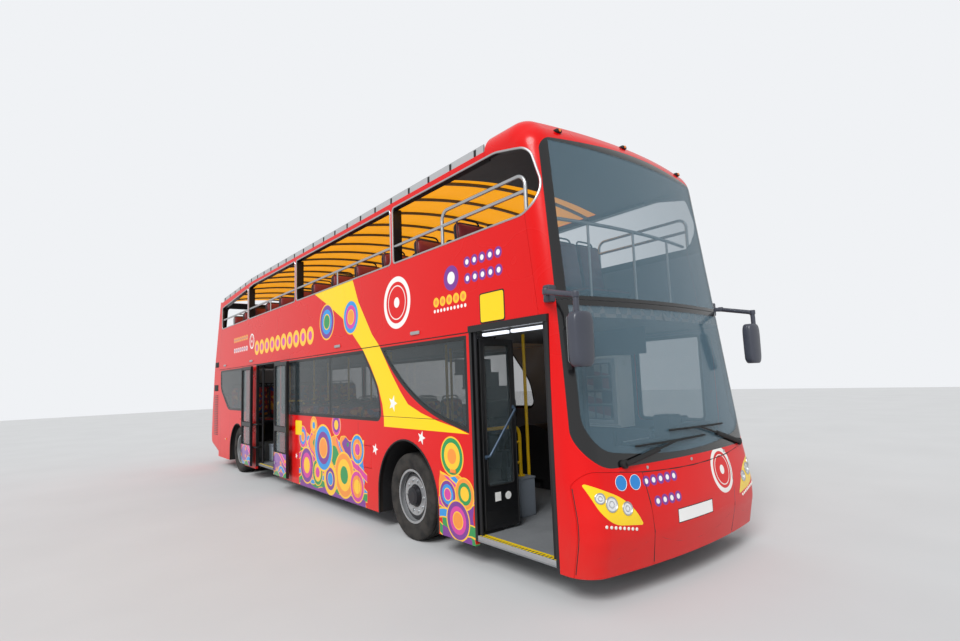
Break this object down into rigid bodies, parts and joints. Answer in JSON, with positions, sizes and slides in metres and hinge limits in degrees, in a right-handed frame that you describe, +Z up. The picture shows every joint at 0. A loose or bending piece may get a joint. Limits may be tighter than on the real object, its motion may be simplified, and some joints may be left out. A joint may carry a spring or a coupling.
{
  "type": "open top double decker bus",
  "caption": "Open top double decker sightseeing bus with a fabric canopy, gliding front door, swinging middle door, steered front axle and twin rear wheels.",
  "frame": {"origin": "on the ground below the centre of the bus's box", "axes": "+X forward, +Y to the bus's left, +Z up; the doors are on the -Y side"},
  "size_m": [11.7999, 2.86, 4],
  "materials": {
    "black_frame": "satin",
    "bow_steel": "satin",
    "cab_grey": "matt",
    "cabinet_white": "satin",
    "canopy_fabric": "woven",
    "chassis_black": "satin",
    "engine_iron": "rough",
    "floor_grey": "studded",
    "lamp_red": "gloss",
    "lamp_yellow": "gloss",
    "lens": "clear",
    "pole_yellow": "gloss",
    "rail_silver": "satin",
    "red_paint": "gloss",
    "rim_steel": "satin",
    "screen_glass": "clear",
    "seat_fabric": "patterned",
    "side_glass": "tinted",
    "tyre": "matt"
  },
  "bodies": {
    "bus": {"cab_cabinet": "cabinet_white", "cab_partition": "cab_grey", "canopy": "canopy_fabric", "canopy_bows": "bow_steel", "chassis_frame": "chassis_black", "door_frames": "black_frame", "driver_console": "cab_grey", "engine_block": "engine_iron", "front_axle": "chassis_black", "hand_poles": "pole_yellow", "lamp_bases": "lamp_yellow", "lamp_lenses": "lens", "lamp_panels": "red_paint", "left_lower_skin": "red_paint", "lower_floor": "floor_grey", "lower_seats": "seat_fabric", "mirrors": "black_frame", "nose_centre_panel": "red_paint", "nose_surround": "red_paint", "rear_axle": "chassis_black", "right_centre_skin": "red_paint", "right_rear_skin": "red_paint", "roof_hood": "red_paint", "side_panes": "side_glass", "side_window_frames": "black_frame", "staircase": "cab_grey", "tail_lamps": "lamp_red", "tail_lower": "red_paint", "tail_upper": "red_paint", "top_frames": "red_paint", "upper_floor": "floor_grey", "upper_rails": "rail_silver", "upper_seats": "seat_fabric", "upper_skins": "red_paint", "windscreens": "screen_glass"},
    "engine_hatch": {"engine_hatch": "red_paint"},
    "fuel_flap": {"fuel_flap": "red_paint"},
    "handwheel": {"steering_wheel": "black_frame"},
    "left_knuckle": {"left_knuckle": "chassis_black"},
    "left_front_wheel": {"left_front_rim": "rim_steel", "left_front_tyre": "tyre"},
    "left_rear_wheels": {"left_rear_rims": "rim_steel", "left_rear_tyres": "tyre"},
    "right_knuckle": {"right_knuckle": "chassis_black"},
    "right_front_wheel": {"right_front_rim": "rim_steel", "right_front_tyre": "tyre"},
    "right_rear_wheels": {"right_rear_rims": "rim_steel", "right_rear_tyres": "tyre"},
    "front_door_arm_rear": {"front_door_post_rear": "black_frame"},
    "front_door_leaf_rear": {"front_door_leaf_rear": "black_frame", "front_door_pane_rear": "side_glass"},
    "mid_door_arm_rear": {"mid_door_arm_rear": "black_frame"},
    "mid_door_leaf_rear": {"mid_door_leaf_rear": "black_frame", "mid_door_pane_rear": "side_glass"},
    "front_door_arm_front": {"front_door_post_front": "black_frame"},
    "front_door_leaf_front": {"front_door_leaf_front": "black_frame", "front_door_pane_front": "side_glass"},
    "mid_door_arm_front": {"mid_door_arm_front": "black_frame"},
    "mid_door_leaf_front": {"mid_door_leaf_front": "black_frame", "mid_door_pane_front": "side_glass"}
  },
  "joints": [
    {"name": "steer_right", "type": "hinge", "parent": "bus", "child": "right_knuckle", "pos_m": [3.2, -0.985, 0.46], "axis": [0, 0, 1], "range_deg": [-40, 40]},
    {"name": "roll_right_front", "type": "hinge", "parent": "right_knuckle", "child": "right_front_wheel", "pos_m": [3.2, -1.085, 0.46], "axis": [0, 1, 0], "continuous": true},
    {"name": "roll_right_rear", "type": "hinge", "parent": "bus", "child": "right_rear_wheels", "pos_m": [-3.55, -1.085, 0.46], "axis": [0, 1, 0], "continuous": true},
    {"name": "steer_left", "type": "hinge", "parent": "bus", "child": "left_knuckle", "pos_m": [3.2, 0.985, 0.46], "axis": [0, 0, 1], "range_deg": [-40, 40]},
    {"name": "roll_left_front", "type": "hinge", "parent": "left_knuckle", "child": "left_front_wheel", "pos_m": [3.2, 1.085, 0.46], "axis": [0, 1, 0], "continuous": true},
    {"name": "roll_left_rear", "type": "hinge", "parent": "bus", "child": "left_rear_wheels", "pos_m": [-3.55, 1.085, 0.46], "axis": [0, 1, 0], "continuous": true},
    {"name": "turn_handwheel", "type": "hinge", "parent": "bus", "child": "handwheel", "pos_m": [5.13, 0.78, 1.15], "axis": [-0.4226, 0, 0.9063], "range_deg": [-620, 620]},
    {"name": "lift_engine_hatch", "type": "hinge", "parent": "bus", "child": "engine_hatch", "pos_m": [-5.7778, 0, 1.717], "axis": [0, 1, 0], "range_deg": [0, 80]},
    {"name": "open_fuel_flap", "type": "hinge", "parent": "bus", "child": "fuel_flap", "pos_m": [2.3945, -1.27, 0.815], "axis": [0, 0, 1], "range_deg": [0, 100]},
    {"name": "close_front_door_rear", "type": "hinge", "parent": "bus", "child": "front_door_arm_rear", "pos_m": [4.476, -1.245, 1.2], "axis": [0, 0, 1], "range_deg": [-90, 0]},
    {"name": "fold_front_leaf_rear", "type": "hinge", "parent": "front_door_arm_rear", "child": "front_door_leaf_rear", "pos_m": [4.476, -1.006, 1.2], "axis": [0, 0, 1], "range_deg": [0, 180]},
    {"name": "close_front_door_front", "type": "hinge", "parent": "bus", "child": "front_door_arm_front", "pos_m": [5.394, -1.245, 1.2], "axis": [0, 0, 1], "range_deg": [0, 90]},
    {"name": "fold_front_leaf_front", "type": "hinge", "parent": "front_door_arm_front", "child": "front_door_leaf_front", "pos_m": [5.394, -1.006, 1.2], "axis": [0, 0, 1], "range_deg": [-180, 0]},
    {"name": "swing_mid_door_rear", "type": "hinge", "parent": "bus", "child": "mid_door_arm_rear", "pos_m": [-2.2, -1.165, 1], "axis": [0, 0, 1], "range_deg": [0, 147.88]},
    {"name": "keep_mid_leaf_rear", "type": "hinge", "parent": "mid_door_arm_rear", "child": "mid_door_leaf_rear", "pos_m": [-2.51561, -1.31, 1], "axis": [0, 0, 1], "range_deg": [-147.88, 0]},
    {"name": "swing_mid_door_front", "type": "hinge", "parent": "bus", "child": "mid_door_arm_front", "pos_m": [-1, -1.165, 1], "axis": [0, 0, 1], "range_deg": [-147.88, 0]},
    {"name": "keep_mid_leaf_front", "type": "hinge", "parent": "mid_door_arm_front", "child": "mid_door_leaf_front", "pos_m": [-0.68439, -1.31, 1], "axis": [0, 0, 1], "range_deg": [0, 147.88]}
  ],
  "couplings": [
    {"joint": "steer_left", "follows": "steer_right", "ratio": 1},
    {"joint": "turn_handwheel", "follows": "steer_right", "ratio": 15},
    {"joint": "fold_front_leaf_rear", "follows": "close_front_door_rear", "ratio": -2},
    {"joint": "keep_mid_leaf_rear", "follows": "swing_mid_door_rear", "ratio": -1},
    {"joint": "fold_front_leaf_front", "follows": "close_front_door_front", "ratio": -2},
    {"joint": "keep_mid_leaf_front", "follows": "swing_mid_door_front", "ratio": -1}
  ]
}
